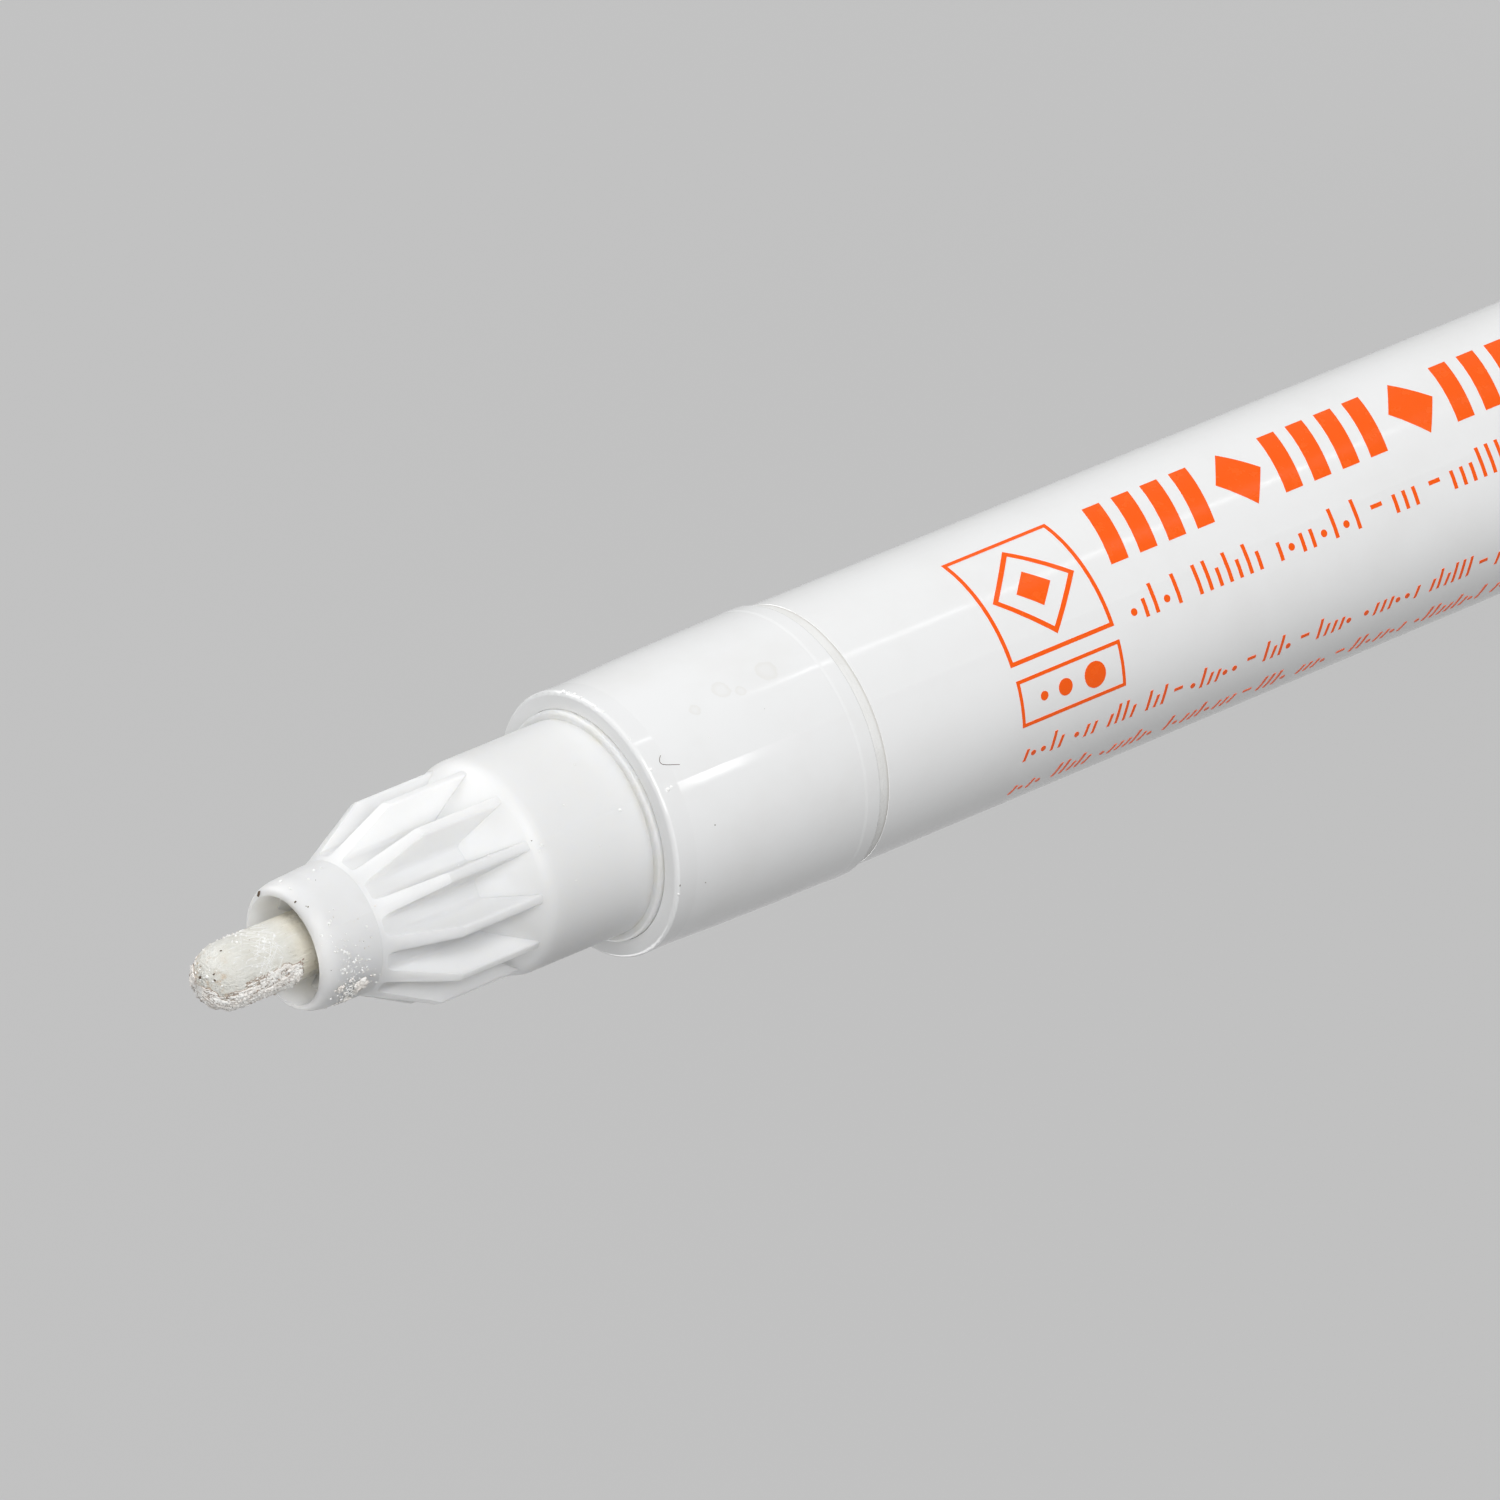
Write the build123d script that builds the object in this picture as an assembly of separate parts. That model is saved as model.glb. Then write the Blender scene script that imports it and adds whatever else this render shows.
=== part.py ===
from build123d import *
import os
from math import hypot, sqrt

# Valve-action liquid chalk marker without its cap, standing on the closed rear end of the barrel.
# Millimetres. The axis is +Z with the nib up, and the origin is the middle of the rear face.
#
# Pressing the nib slides it and the valve plunger back against the spring. That lifts the plunger's
# cone off the rubber seat, and the chalk ink runs past it to the nib.

# ---- driving dimensions -------------------------------------------------------------------------

# Fits and clearances, all on the radius
push_fit = 0.02          # pieces pushed together for good
slide_fit = 0.05         # nib and plunger in what guides them
ink_gap = 0.45           # ring that the ink flows through round a moving piece
seat_gap = 0.03          # closed valve, cone to rubber, square to the cone
spring_gap = 0.02        # spring to the plunger's head

# Barrel: one moulding, closed at the rear
barrel_d = 12.5
barrel_length = 98.0
barrel_wall = 0.95
barrel_floor = 1.6
barrel_rear_round = 0.8
barrel_inner_round = 1.2
barrel_mouth_chamfer = 0.06

# Nib holder: spigot in the barrel, flange, stem in the collar, neck, fins and nozzle
spigot_length = 12.0
spigot_wall = 1.1
spigot_chamfer = 0.4
flange_inset = 0.2       # how far the flange stays below the barrel's surface
flange_t = 0.6
shoulder_proud = 0.3     # the stem's front edge stands out of the collar by this
shoulder_step = 0.37     # from the stem down to the neck
shoulder_round = 0.15
neck_length = 5.7
neck_edge_round = 1.2    # where the neck goes over into the slopes between the fins
chamber_roof = 2.5       # solid neck in front of the valve chamber

# Fins
fin_count = 12
fin_length = 4.7         # stretch along the axis
fin_slope_length = 3.3   # stretch that runs down to the nozzle
fin_drop = 0.24          # from the neck down to the crests
fin_tip_t = 0.5          # thickness at the crest
fin_root_t = 0.85        # thickness at the core
fin_round = 0.12         # of the crests
fin_root_round = 0.25    # where the fins grow out of the core
fin_ramp_length = 2.6    # slope between the fins, from the core up to the neck

# Nozzle
nozzle_length = 3.05
nozzle_d = 6.04          # outside, where its lip begins
nozzle_taper = 0.1       # growth of the radius from the lip to the fins
core_taper = 0.1         # growth of the radius from there to the core
lip_length = 1.0         # stretch on which the outside runs in to the thin edge of the mouth
mouth_wall = 0.5
mouth_depth = 2.6        # length of the flared mouth
rib_count = 6
rib_t = 0.7
rib_setback = 1.5        # from the mouth in to the ribs
rib_lead = 0.8           # sloped lead-in of the ribs

# Front collar: a separate sleeve on the stem, waisted at the front and swelling to the rear
collar_length = 11.6
collar_wall = 0.83
collar_waist = 0.04      # how far the waist lies below the barrel's radius
collar_waist_length = 1.2    # from the front edge back to the waist
collar_swell = 0.1       # how far the middle stands above the barrel's radius
collar_belly = 0.155     # how far the belly does, at the rear
collar_lip = 0.02        # the rear lip above the belly
collar_lip_length = 0.9
collar_lip_slope = 0.15
collar_front_round = 0.2
collar_rear_round = 0.08

# Nib: a fibre rod with a bullet end
nib_d = 3.0
nib_reach = 4.75         # how far it stands out of the nozzle
nib_tip_length = 1.7
nib_bore_gap = 0.8       # holder's bore round the nib, where the ribs stand
nib_tail_chamfer = 0.25

# Valve body: a moulding pushed up to the roof of the chamber
valve_travel = 2.0
valve_guide_length = 11.6
valve_flange_t = 1.4
valve_skirt_length = 5.0
valve_wall = 0.78        # of the skirt
valve_tube_wall = 0.8    # of the guide tube
valve_ring_length = 1.2  # locating ring at the front
guide_rib_count = 4
guide_rib_t = 0.8
guide_rib_inset = 0.8    # ribs stop this short of both ends

# Rubber seat
seat_t = 1.1
seat_chamfer = 0.5

# Plunger: socket for the nib, stem, cone and tail pin
socket_depth = 2.4
socket_floor = 1.4
socket_wall = 0.6
socket_slot_w = 0.8
stop_margin = 1.2        # socket to valve flange when the nib is pressed right in
stem_d = 1.8
head_rim_t = 0.8
tail_d = 1.6
tail_reach = 0.6         # pin beyond the cage floor
tail_chamfer = 0.25

# Cage and spring
cage_length = 12.9
cage_wall = 0.5
cage_floor_t = 1.2
cage_flange_t = 1.1
window_count = 4
window_w = 2.2
window_margin = 0.8      # solid left over the floor and under the flange
wire_d = 0.35
spring_turns = 6
spring_inset = 0.45      # coil's outside to the plunger's rim

ball_d = 5.0

# ---- radii and levels worked out from them ------------------------------------------------------

barrel_r = barrel_d / 2
bore_r = barrel_r - barrel_wall
spigot_r = bore_r - push_fit
chamber_r = spigot_r - spigot_wall
collar_bore_r = barrel_r - collar_wall
stem_r = collar_bore_r - push_fit
neck_r = stem_r - shoulder_step
crest_r = neck_r - fin_drop
nozzle_r = nozzle_d / 2
nozzle_root_r = nozzle_r + nozzle_taper
core_r = nozzle_root_r + core_taper

nib_r = nib_d / 2
nib_bore_r = nib_r + nib_bore_gap
rib_r = nib_r + slide_fit
mouth_r = nozzle_r - mouth_wall

spigot_z = barrel_length - spigot_length
flange_z = barrel_length
collar_z = flange_z + flange_t
collar_front_z = collar_z + collar_length
neck_z = collar_front_z + shoulder_proud
fin_z = neck_z + neck_length
fin_corner_z = fin_z + fin_length
nozzle_z = fin_corner_z + fin_slope_length
mouth_z = nozzle_z + nozzle_length
lip_base_z = mouth_z - lip_length
tip_z = mouth_z + nib_reach

roof_z = neck_z - chamber_roof
valve_r = chamber_r - push_fit
valve_flange_z = roof_z - valve_guide_length
seat_top_z = valve_flange_z - valve_flange_t
skirt_z = seat_top_z - valve_skirt_length
skirt_r = valve_r - valve_wall
seat_r = skirt_r - push_fit
seat_z = seat_top_z - seat_t
cage_z = seat_z - cage_length
cage_bore_r = seat_r - cage_wall

plunger_stem_r = stem_d / 2
seat_hole_r = plunger_stem_r + ink_gap + slide_fit
socket_r = nib_r + socket_wall
valve_bore_r = socket_r + ink_gap
socket_z = valve_flange_z + valve_travel + stop_margin
nib_tail_z = socket_z + socket_floor
socket_top_z = nib_tail_z + socket_depth
head_r = cage_bore_r - ink_gap
cone_r = seat_hole_r + seat_chamfer - seat_gap * sqrt(2)    # the 45 degree cone at the seat's rear face
head_z = seat_z - (head_r - cone_r)
head_rear_z = head_z - head_rim_t
tail_r = tail_d / 2
spring_floor_z = cage_z + cage_floor_t
coil_r = head_r - spring_inset - wire_d / 2


# ---- helpers ------------------------------------------------------------------------------------

def turned(*outline):
    """A solid of revolution about Z from a closed outline of (radius, height) points."""
    return revolve(Plane.XZ * make_face(Polyline(*outline, close=True)), Axis.Z)


def rod(radius, low_z, high_z):
    """A plain round bar on the axis."""
    return turned((0, low_z), (radius, low_z), (radius, high_z), (0, high_z))


def around(piece, count):
    """Equally spaced copies of a piece about Z."""
    return [Rot(0, 0, 360 / count * number) * piece for number in range(count)]


def spokes(inner_r, outer_r, thickness, low_z, high_z, count):
    """Flat plates that stand on the radius, between two radii and two heights."""
    plate = Pos((inner_r + outer_r) / 2, 0, (low_z + high_z) / 2) * Box(
        outer_r - inner_r, thickness, high_z - low_z
    )
    return around(plate, count)


def circles_at(solid, height, radius):
    """The circular edges of a solid at one height and radius."""
    edges = solid.edges().filter_by(GeomType.CIRCLE)
    return edges.filter_by(
        lambda edge: abs(edge.center().Z - height) < 1e-4 and abs(edge.radius - radius) < 1e-4
    )


def quarter_ellipse(inner_r, outer_r, low_z, high_z):
    """A curve that leaves the outer radius along the axis and meets the inner one square to it."""
    pull = 4 / 3 * (sqrt(2) - 1)    # control points that bring a Bezier curve to a quarter ellipse
    return Bezier(
        (outer_r, low_z),
        (outer_r, low_z + pull * (high_z - low_z)),
        (inner_r + pull * (outer_r - inner_r), high_z),
        (inner_r, high_z),
    )


def outside_of_lip(inner_r, outer_r, low_z, high_z):
    """The ring to cut away so that a tube's outside runs in to a thin edge."""
    margin = 1.0
    rest = Polyline(
        (inner_r, high_z),
        (inner_r, high_z + margin),
        (outer_r + margin, high_z + margin),
        (outer_r + margin, low_z),
        (outer_r, low_z),
    )
    return revolve(Plane.XZ * make_face([quarter_ellipse(inner_r, outer_r, low_z, high_z), rest]), Axis.Z)


# ---- pieces -------------------------------------------------------------------------------------

def make_barrel():
    """Straight tube with a flat closed rear end and a rounded inner corner."""
    outside = rod(barrel_r, 0, barrel_length)
    outside = fillet(circles_at(outside, 0, barrel_r), barrel_rear_round)
    outside = chamfer(circles_at(outside, barrel_length, barrel_r), barrel_mouth_chamfer)
    inside = rod(bore_r, barrel_floor, barrel_length)
    inside = fillet(circles_at(inside, barrel_floor, bore_r), barrel_inner_round)
    return outside - inside


def make_fins():
    """Drafted plates with round crests, blended into the core, cut to the crest line and its slope."""
    root_r = core_r - mouth_wall
    plate = make_face(
        Polyline(
            (root_r, -fin_root_t / 2),
            (crest_r, -fin_tip_t / 2),
            (crest_r, fin_tip_t / 2),
            (root_r, fin_root_t / 2),
            close=True,
        )
    )
    plate = fillet(plate.vertices().group_by(Axis.X)[-1], fin_round)
    star = Sketch() + Circle(core_r) + around(plate, fin_count)
    roots = star.vertices().filter_by(lambda corner: abs(hypot(corner.X, corner.Y) - core_r) < 1e-4)
    star = fillet(roots, fin_root_round)
    envelope = turned(
        (0, fin_z), (crest_r, fin_z), (crest_r, fin_corner_z), (nozzle_root_r, nozzle_z), (0, nozzle_z)
    )
    return Pos(0, 0, fin_z) * extrude(star, nozzle_z - fin_z) & envelope


def make_nib_holder():
    """Spigot, flange, stem, neck, fins and nozzle in one moulding, hollow from end to end."""
    ramp_slope = fin_ramp_length / (neck_r - core_r)
    body = turned(
        (0, spigot_z),
        (spigot_r - spigot_chamfer, spigot_z),
        (spigot_r, spigot_z + spigot_chamfer),
        (spigot_r, flange_z),
        (barrel_r - flange_inset, flange_z),
        (barrel_r - flange_inset, collar_z),
        (stem_r, collar_z),
        (stem_r, neck_z),
        (neck_r, neck_z),
        (neck_r, fin_z),
        (nozzle_root_r, fin_z + (neck_r - nozzle_root_r) * ramp_slope),
        (nozzle_root_r, nozzle_z),
        (nozzle_r, lip_base_z),
        (nozzle_r, mouth_z),
        (0, mouth_z),
    )
    body -= outside_of_lip(mouth_r, nozzle_r, lip_base_z, mouth_z)
    body = fillet(circles_at(body, neck_z, stem_r), shoulder_round)
    body = fillet(circles_at(body, fin_z, neck_r), neck_edge_round)
    body += make_fins()
    body -= turned(
        (0, spigot_z),
        (chamber_r, spigot_z),
        (chamber_r, roof_z),
        (nib_bore_r, roof_z),
        (nib_bore_r, mouth_z - mouth_depth),
        (mouth_r, mouth_z),
        (0, mouth_z),
    )
    rib_top_z = mouth_z - rib_setback
    ribs = spokes(rib_r / 2, nib_bore_r + mouth_wall / 2, rib_t, roof_z, rib_top_z, rib_count)
    lead = turned(
        (0, roof_z),
        (rib_r, roof_z),
        (rib_r, rib_top_z - rib_lead),
        (nib_bore_r, rib_top_z),
        (0, rib_top_z),
    )
    return body.fuse(*[rib - lead for rib in ribs])


def make_front_collar():
    """Sleeve with a rounded front edge, a slight waist, a long belly and a fine rear lip."""
    waist_r = barrel_r - collar_waist
    waist_z = collar_front_z - collar_waist_length
    belly_r = barrel_r + collar_belly
    lip_r = belly_r + collar_lip
    lip_z = collar_z + collar_lip_length
    with BuildPart() as collar:
        with BuildSketch(Plane.XZ):
            with BuildLine():
                Polyline(
                    (belly_r, lip_z),
                    (lip_r, lip_z - collar_lip_slope),
                    (lip_r, collar_z),
                    (collar_bore_r, collar_z),
                    (collar_bore_r, collar_front_z),
                    (barrel_r, collar_front_z),
                    (waist_r, waist_z),
                )
                Spline(
                    (waist_r, waist_z),
                    (barrel_r + collar_swell, (waist_z + lip_z) / 2),
                    (belly_r, lip_z),
                )
            make_face()
        revolve(axis=Axis.Z)
        fillet(circles_at(collar, collar_front_z, barrel_r), collar_front_round)
        fillet(circles_at(collar, collar_z, lip_r), collar_rear_round)
    return collar.part


def make_nib():
    """Fibre rod with an elliptical bullet end, its tail standing on the socket's floor."""
    shoulder_z = tip_z - nib_tip_length
    with BuildPart() as nib:
        with BuildSketch(Plane.XZ):
            with BuildLine():
                Polyline(
                    (0, tip_z),
                    (0, nib_tail_z),
                    (nib_r - nib_tail_chamfer, nib_tail_z),
                    (nib_r, nib_tail_z + nib_tail_chamfer),
                    (nib_r, shoulder_z),
                )
                quarter_ellipse(0, nib_r, shoulder_z, tip_z)
            make_face()
        revolve(axis=Axis.Z)
    return nib.part


def make_valve_body():
    """Guide tube for the socket, flange behind it and a skirt that holds the seat and the cage."""
    tube_r = valve_bore_r + valve_tube_wall
    body = turned(
        (skirt_r, skirt_z),
        (valve_r, skirt_z),
        (valve_r, valve_flange_z),
        (tube_r, valve_flange_z),
        (tube_r, roof_z - valve_ring_length),
        (valve_r, roof_z - valve_ring_length),
        (valve_r, roof_z),
        (valve_bore_r, roof_z),
        (valve_bore_r, valve_flange_z),
        (seat_hole_r, valve_flange_z),
        (seat_hole_r, seat_top_z),
        (skirt_r, seat_top_z),
    )
    low_z = valve_flange_z + guide_rib_inset
    high_z = roof_z - guide_rib_inset
    mid_wall_r = valve_bore_r + valve_tube_wall / 2
    ribs = spokes(socket_r / 2, mid_wall_r, guide_rib_t, low_z, high_z, guide_rib_count)
    way = rod(socket_r + slide_fit, low_z, high_z)
    return body.fuse(*[rib - way for rib in ribs])


def make_valve_seat():
    """Rubber washer with a 45 degree mouth for the plunger's cone."""
    return turned(
        (seat_hole_r + seat_chamfer, seat_z),
        (seat_r, seat_z),
        (seat_r, seat_top_z),
        (seat_hole_r, seat_top_z),
        (seat_hole_r, seat_z + seat_chamfer),
    )


def make_valve_plunger():
    """Slotted socket for the nib, thin stem, sealing cone and a tail pin through the cage floor."""
    tail_z = cage_z - tail_reach
    plunger = turned(
        (0, tail_z),
        (tail_r - tail_chamfer, tail_z),
        (tail_r, tail_z + tail_chamfer),
        (tail_r, head_rear_z),
        (head_r, head_rear_z),
        (head_r, head_z),
        (plunger_stem_r, head_z + head_r - plunger_stem_r),
        (plunger_stem_r, socket_z),
        (socket_r, socket_z),
        (socket_r, socket_top_z),
        (nib_r + push_fit, socket_top_z),
        (nib_r + push_fit, nib_tail_z),
        (0, nib_tail_z),
    )
    slots = spokes(plunger_stem_r, 2 * socket_r, socket_slot_w, nib_tail_z, socket_top_z, guide_rib_count)
    turn = 180 / guide_rib_count
    return plunger.cut(*[Rot(0, 0, turn) * slot for slot in slots])


def make_spring_cage():
    """Sleeve pushed into the skirt against the seat, with a flange, ink windows and a floor."""
    cage = turned(
        (tail_r + slide_fit, cage_z),
        (seat_r, cage_z),
        (seat_r, skirt_z - cage_flange_t),
        (valve_r, skirt_z - cage_flange_t),
        (valve_r, skirt_z),
        (seat_r, skirt_z),
        (seat_r, seat_z),
        (cage_bore_r, seat_z),
        (cage_bore_r, spring_floor_z),
        (tail_r + slide_fit, spring_floor_z),
    )
    low_z = spring_floor_z + window_margin
    high_z = skirt_z - cage_flange_t - window_margin
    windows = spokes(cage_bore_r / 2, valve_r, window_w, low_z, high_z, window_count)
    return cage.cut(*windows)


def make_valve_spring():
    """Open coil of steel wire between the cage floor and the plunger's head."""
    low_z = spring_floor_z + wire_d / 2
    height = head_rear_z - spring_gap - wire_d / 2 - low_z
    path = Pos(0, 0, low_z) * Helix(height / spring_turns, height, coil_r)
    section = (path ^ 0) * Circle(wire_d / 2)
    return sweep(section, path=path, is_frenet=True)


def make_mixing_ball():
    """Steel ball that rests on the barrel's floor and stirs the ink when the marker is shaken."""
    return Pos(0, 0, barrel_floor + ball_d / 2) * Sphere(ball_d / 2)


pieces = {
    "barrel": make_barrel,
    "nib_holder": make_nib_holder,
    "front_collar": make_front_collar,
    "nib": make_nib,
    "valve_body": make_valve_body,
    "valve_seat": make_valve_seat,
    "valve_plunger": make_valve_plunger,
    "valve_spring": make_valve_spring,
    "spring_cage": make_spring_cage,
    "mixing_ball": make_mixing_ball,
}

os.makedirs("parts", exist_ok=True)
for name, make in pieces.items():
    solid = make()
    solid.label = name
    export_step(solid, f"parts/{name}.step")
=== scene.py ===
import math
import random

import bmesh
import bpy
from mathutils import Matrix, Vector, noise


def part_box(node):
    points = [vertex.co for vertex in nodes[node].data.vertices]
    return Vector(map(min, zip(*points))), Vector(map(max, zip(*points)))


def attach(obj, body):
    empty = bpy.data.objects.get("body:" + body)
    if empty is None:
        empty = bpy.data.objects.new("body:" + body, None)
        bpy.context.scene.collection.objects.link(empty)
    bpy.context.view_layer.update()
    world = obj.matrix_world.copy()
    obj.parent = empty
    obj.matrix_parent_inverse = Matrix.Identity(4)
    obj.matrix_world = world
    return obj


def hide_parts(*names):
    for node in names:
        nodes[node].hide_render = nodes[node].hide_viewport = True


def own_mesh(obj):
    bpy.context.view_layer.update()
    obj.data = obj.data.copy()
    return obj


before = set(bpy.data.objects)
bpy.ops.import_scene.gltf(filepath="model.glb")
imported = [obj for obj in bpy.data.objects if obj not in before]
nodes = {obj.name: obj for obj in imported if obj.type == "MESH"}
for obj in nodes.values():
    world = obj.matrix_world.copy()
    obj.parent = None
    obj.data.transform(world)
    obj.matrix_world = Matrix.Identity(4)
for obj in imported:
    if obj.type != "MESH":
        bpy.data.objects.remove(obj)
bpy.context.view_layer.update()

mm = 0.001


# ---- Barrel -------------------------------------------------------------------------------------
# Straight tube of white polypropylene, moulded in one piece with its closed rear end.
# The mould was polished, so it is glossy, with hairline scuffs and a little grey from handling.

def effect_group(name, inputs, outputs):
    """An empty shader node group with named sockets, and its input and output ends."""
    group = bpy.data.node_groups.new(name, "ShaderNodeTree")
    for label, kind, value in inputs:
        socket = group.interface.new_socket(label, in_out="INPUT", socket_type=kind)
        socket.default_value = value
    for label, kind in outputs:
        group.interface.new_socket(label, in_out="OUTPUT", socket_type=kind)
    return group, group.nodes.new("NodeGroupInput").outputs, group.nodes.new("NodeGroupOutput").inputs


def feed(tree, socket, value):
    """Joins a socket to another node's output, or gives it a plain value."""
    if isinstance(value, bpy.types.NodeSocket):
        tree.links.new(value, socket)
    else:
        socket.default_value = value


def add_node(tree, kind, settings=None, **inputs):
    """A shader node with its settings and its inputs, named as in Blender with _ for a blank."""
    node = tree.nodes.new(kind)
    for name, value in (settings or {}).items():
        setattr(node, name, value)
    for name, value in inputs.items():
        feed(tree, node.inputs[name.replace("_", " ")], value)
    return node


def calculate(tree, operation, first, second=0.0, third=0.0):
    """One step of arithmetic in a Math node."""
    node = tree.nodes.new("ShaderNodeMath")
    node.operation = operation
    for socket, value in zip(node.inputs, (first, second, third)):
        feed(tree, socket, value)
    return node.outputs[0]


def times(tree, first, second):
    """Two values multiplied."""
    return calculate(tree, "MULTIPLY", first, second)


def ramp_up(tree, value, low, high):
    """0 below low, 1 above high and smooth in between. A low above the high turns it round."""
    node = tree.nodes.new("ShaderNodeMapRange")
    node.interpolation_type = "SMOOTHSTEP"
    for name, given in (("Value", value), ("From Min", low), ("From Max", high)):
        feed(tree, node.inputs[name], given)
    return node.outputs["Result"]


def mix_colours(tree, share, first, second):
    """The first colour going over to the second one as share grows."""
    node = tree.nodes.new("ShaderNodeMix")
    node.data_type = "RGBA"
    feed(tree, node.inputs["Factor"], share)
    feed(tree, node.inputs[6], first)
    feed(tree, node.inputs[7], second)
    return node.outputs[2]


def object_place(tree):
    """Where a point of the piece is, in metres."""
    return add_node(tree, "ShaderNodeTexCoord").outputs["Object"]


def grain(tree, place, scale, detail=3.0, roughness=0.55):
    """Fractal noise at so many grains a metre."""
    node = tree.nodes.new("ShaderNodeTexNoise")
    for name, given in (("Vector", place), ("Scale", scale), ("Detail", detail), ("Roughness", roughness)):
        feed(tree, node.inputs[name], given)
    return node.outputs["Fac"]


def stretched(tree, place, along):
    """The same place with its heights scaled, so that what is drawn there runs along the marker."""
    node = tree.nodes.new("ShaderNodeMapping")
    node.inputs["Scale"].default_value = (1, 1, along)
    feed(tree, node.inputs["Vector"], place)
    return node.outputs[0]


def handling_group():
    """Grey from fingers, hairline scuffs along the marker and the faint unevenness of a moulding."""
    group, given, out = effect_group(
        "handling",
        [
            ("Clean colour", "NodeSocketColor", (0.8, 0.8, 0.8, 1)),
            ("Grime colour", "NodeSocketColor", (0.5, 0.48, 0.44, 1)),
            ("Grime", "NodeSocketFloat", 0.1),
            ("Gloss roughness", "NodeSocketFloat", 0.25),
            ("Scuffs", "NodeSocketFloat", 0.1),
        ],
        [("Colour", "NodeSocketColor"), ("Roughness", "NodeSocketFloat"), ("Height", "NodeSocketFloat")],
    )
    place = object_place(group)
    clouds = ramp_up(group, grain(group, place, 240, 5), 0.42, 0.75)
    specks = ramp_up(group, grain(group, place, 5200, 1), 0.79, 0.83)
    hairlines = ramp_up(group, grain(group, stretched(group, place, 0.04), 3600, 2), 0.62, 0.70)
    dirt = times(group, clouds, given["Grime"])
    dirt = calculate(group, "MAXIMUM", dirt, times(group, specks, given["Grime"]))
    group.links.new(mix_colours(group, dirt, given["Clean colour"], given["Grime colour"]), out["Colour"])
    worn = times(group, calculate(group, "ADD", clouds, hairlines), given["Scuffs"])
    group.links.new(calculate(group, "ADD", given["Gloss roughness"], worn), out["Roughness"])
    swell = times(group, grain(group, place, 420, 2), 0.6)
    cut = times(group, hairlines, times(group, given["Scuffs"], -0.5))
    group.links.new(calculate(group, "ADD", swell, cut), out["Height"])
    return group


handling = handling_group()


def new_material(name):
    """A material with only a Principled shader: the material, its node tree and the shader."""
    material = bpy.data.materials.new(name)
    material.use_nodes = True
    return material, material.node_tree, material.node_tree.nodes["Principled BSDF"]


def moulded_plastic(name, clean, grime, grime_share, roughness, scuffs, relief):
    """White moulded plastic. Gives the material, its tree, the shader and the colour so far."""
    material, tree, shader = new_material(name)
    wear = tree.nodes.new("ShaderNodeGroup")
    wear.node_tree = handling
    for label, value in (
        ("Clean colour", (*clean, 1)),
        ("Grime colour", (*grime, 1)),
        ("Grime", grime_share),
        ("Gloss roughness", roughness),
        ("Scuffs", scuffs),
    ):
        wear.inputs[label].default_value = value
    tree.links.new(wear.outputs["Colour"], shader.inputs["Base Color"])
    tree.links.new(wear.outputs["Roughness"], shader.inputs["Roughness"])
    bump = add_node(tree, "ShaderNodeBump", Height=wear.outputs["Height"], Distance=relief)
    tree.links.new(bump.outputs[0], shader.inputs["Normal"])
    shader.inputs["IOR"].default_value = 1.49
    return material, tree, shader, wear.outputs["Colour"]


def finish_node(node, material):
    """Gives a CAD piece its finish, with every face in the one material."""
    mesh = nodes[node].data
    mesh.materials.clear()
    mesh.materials.append(material)


barrel_finish = moulded_plastic(
    "barrel_white", (0.842, 0.846, 0.847), (0.62, 0.60, 0.57), 0.10, 0.13, 0.05, 0.012 * mm
)[0]
finish_node("barrel", barrel_finish)


# ---- Barrel print -------------------------------------------------------------------------------
# One pass of orange ink, a few hundredths of a millimetre thick, printed while the barrel rolled
# over a plate. Two framed signs, a bold band of slanting bars and lozenges, and rows of fine ticks.

def new_piece(name, data):
    """An object for a mesh, curves, a lamp or a camera, put into the scene."""
    piece = bpy.data.objects.new(name, data)
    bpy.context.scene.collection.objects.link(piece)
    return piece


def piece_from(name, made, smooth_to=None):
    """Turns finished mesh work into a piece with flat faces, or with smooth ones up to an angle."""
    mesh = bpy.data.meshes.new(name)
    made.to_mesh(mesh)
    made.free()
    if smooth_to is not None:
        mesh.shade_smooth()
        mesh.set_sharp_from_angle(angle=math.radians(smooth_to))
    return new_piece(name, mesh)


barrel_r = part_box("barrel")[1].x
ink_proud = 0.012 * mm
ink_sunk = 0.03 * mm
ink_step = 0.25 * mm        # no facet is wider than this round the barrel


def bar(left, right, low, high, lean=0.0):
    """A straight bar between two places round the barrel and two heights, its left end shifted."""
    return [(left, low + lean), (right, low), (right, high), (left, high + lean)]


def outline_frame(left, right, low, high, line):
    """Four mitred bars round an open field."""
    outer = [(left, low), (right, low), (right, high), (left, high)]
    inner = [
        (left + line, low + line), (right - line, low + line),
        (right - line, high - line), (left + line, high - line),
    ]
    return [[outer[k], outer[k - 3], inner[k - 3], inner[k]] for k in range(4)]


def disc(across, height, radius, steps=32):
    """A filled round dot."""
    turns = [math.tau * k / steps for k in range(steps)]
    return [(across + radius * math.cos(turn), height + radius * math.sin(turn)) for turn in turns]


def lozenge(across, height, half_across, half_height):
    """A filled diamond."""
    return [
        (across - half_across, height), (across, height - half_height),
        (across + half_across, height), (across, height + half_height),
    ]


def lozenge_frame(across, height, half_across, half_height, line):
    """Four mitred bars round an open diamond."""
    outer = lozenge(across, height, half_across, half_height)
    inner = lozenge(across, height, half_across - line, half_height - line)
    return [[outer[k], outer[k - 3], inner[k - 3], inner[k]] for k in range(4)]


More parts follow.
